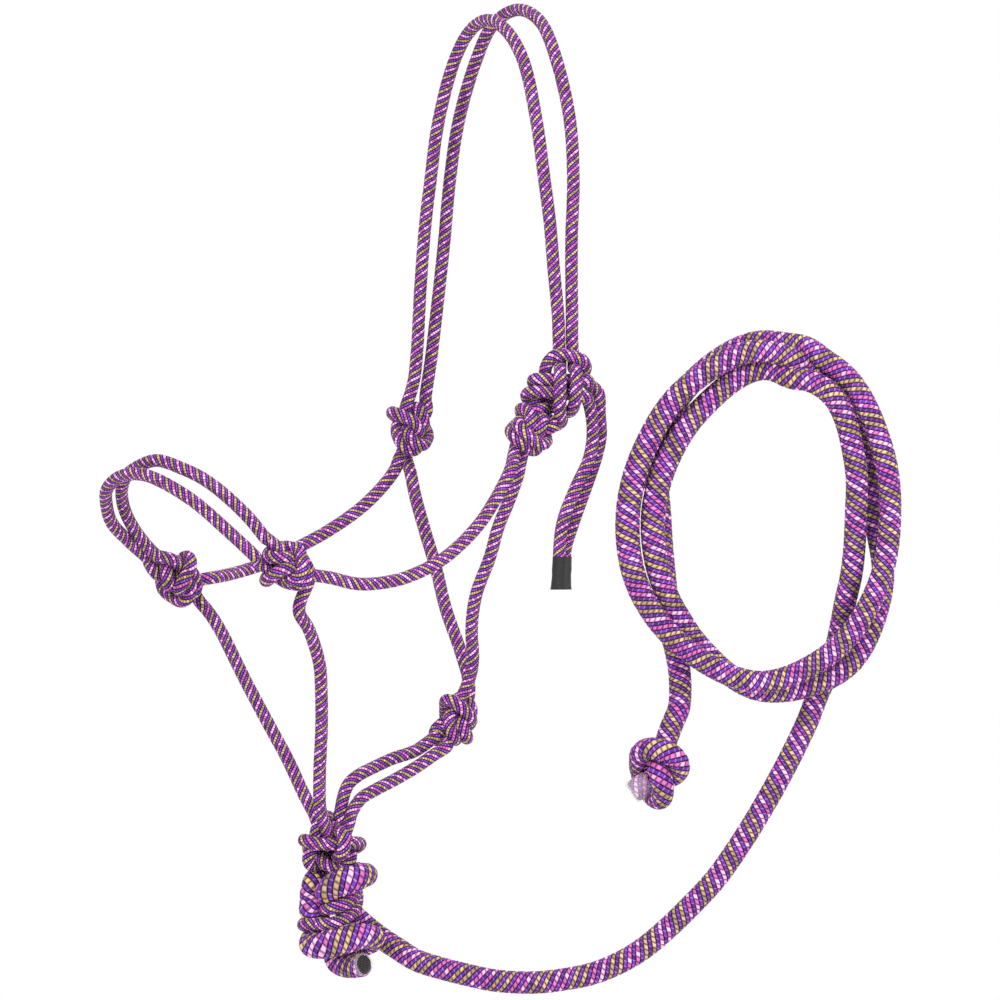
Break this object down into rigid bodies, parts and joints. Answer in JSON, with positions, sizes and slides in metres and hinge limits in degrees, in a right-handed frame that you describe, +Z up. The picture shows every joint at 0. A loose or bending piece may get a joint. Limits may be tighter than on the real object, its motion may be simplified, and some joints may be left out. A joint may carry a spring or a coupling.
{
  "type": "rope halter with lead rope",
  "caption": "Braided rope halter tied from one cord, in its worn shape, with a thicker lead rope tied under the chin and hung up in a coil.",
  "frame": {"origin": "the point on the poll where the crown rests, midway between its two sides", "axes": "+Z up, -Y the way the horse faces, +X towards the horse's near (left) side, where the halter is tied"},
  "size_m": [0.3041, 0.4653, 0.6309],
  "materials": {
    "halter_cord": "fine round braid, dark violet stripes with pink, orchid and tan strands, slight synthetic sheen",
    "lead_rope": "coarse round braid, violet stripes between orchid, salmon pink and tan strands, glossy synthetic sheen",
    "shrink_sleeve": "black heat-shrink sleeve, satin, slightly wrinkled",
    "lead_end_cap": "dark melted rope end under a clear shrunk skin",
    "sealed_rope_end": "heat-sealed cut end of the lead, fibres fused and dulled"
  },
  "bodies": {
    "halter": {"crown_front_strand": "halter_cord", "crown_rear_strand": "halter_cord", "far_cheek_knot": "halter_cord", "near_cheek_knot": "halter_cord", "eye_loop": "halter_cord", "halter_hitch": "halter_cord", "near_cheek_strand": "halter_cord", "far_cheek_strand": "halter_cord", "near_throat_strand": "halter_cord", "far_throat_strand": "halter_cord", "throat_knot": "halter_cord", "throat_line_upper": "halter_cord", "throat_line_lower": "halter_cord", "near_nose_knot": "halter_cord", "far_nose_knot": "halter_cord", "near_chin_strand": "halter_cord", "far_chin_strand": "halter_cord", "fiador_knot": "halter_cord", "fiador_loop_front": "halter_cord", "fiador_loop_rear": "halter_cord", "lead_hitch": "lead_rope", "lead_end_cap": "lead_end_cap", "lead_coil": "lead_rope", "lead_tail": "lead_rope", "lead_stopper_knot": "lead_rope", "lead_cut_end": "sealed_rope_end"},
    "crown_tails": {"crown_tail_front": "halter_cord", "crown_tail_rear": "halter_cord", "tail_sleeve": "shrink_sleeve"},
    "noseband": {"noseband_front_strand": "halter_cord", "noseband_rear_strand": "halter_cord"},
    "lead_bight": {"lead_sweep": "lead_rope"}
  },
  "joints": [
    {"name": "noseband_swing", "type": "hinge", "parent": "halter", "child": "noseband", "pos_m": [0, -0.204, -0.3475], "axis": [1, 0, 0], "range_deg": [-25, 45]},
    {"name": "crown_tails_swing", "type": "hinge", "parent": "halter", "child": "crown_tails", "pos_m": [0.08, 0.0125, -0.232], "axis": [-0.5519, -0.8339, 0], "range_deg": [-8, 70]},
    {"name": "lead_bight_swing", "type": "hinge", "parent": "halter", "child": "lead_bight", "pos_m": [0.02, -0.096, -0.58], "axis": [0.4869, 0.7359, 0.4704], "range_deg": [-50, 50]}
  ]
}
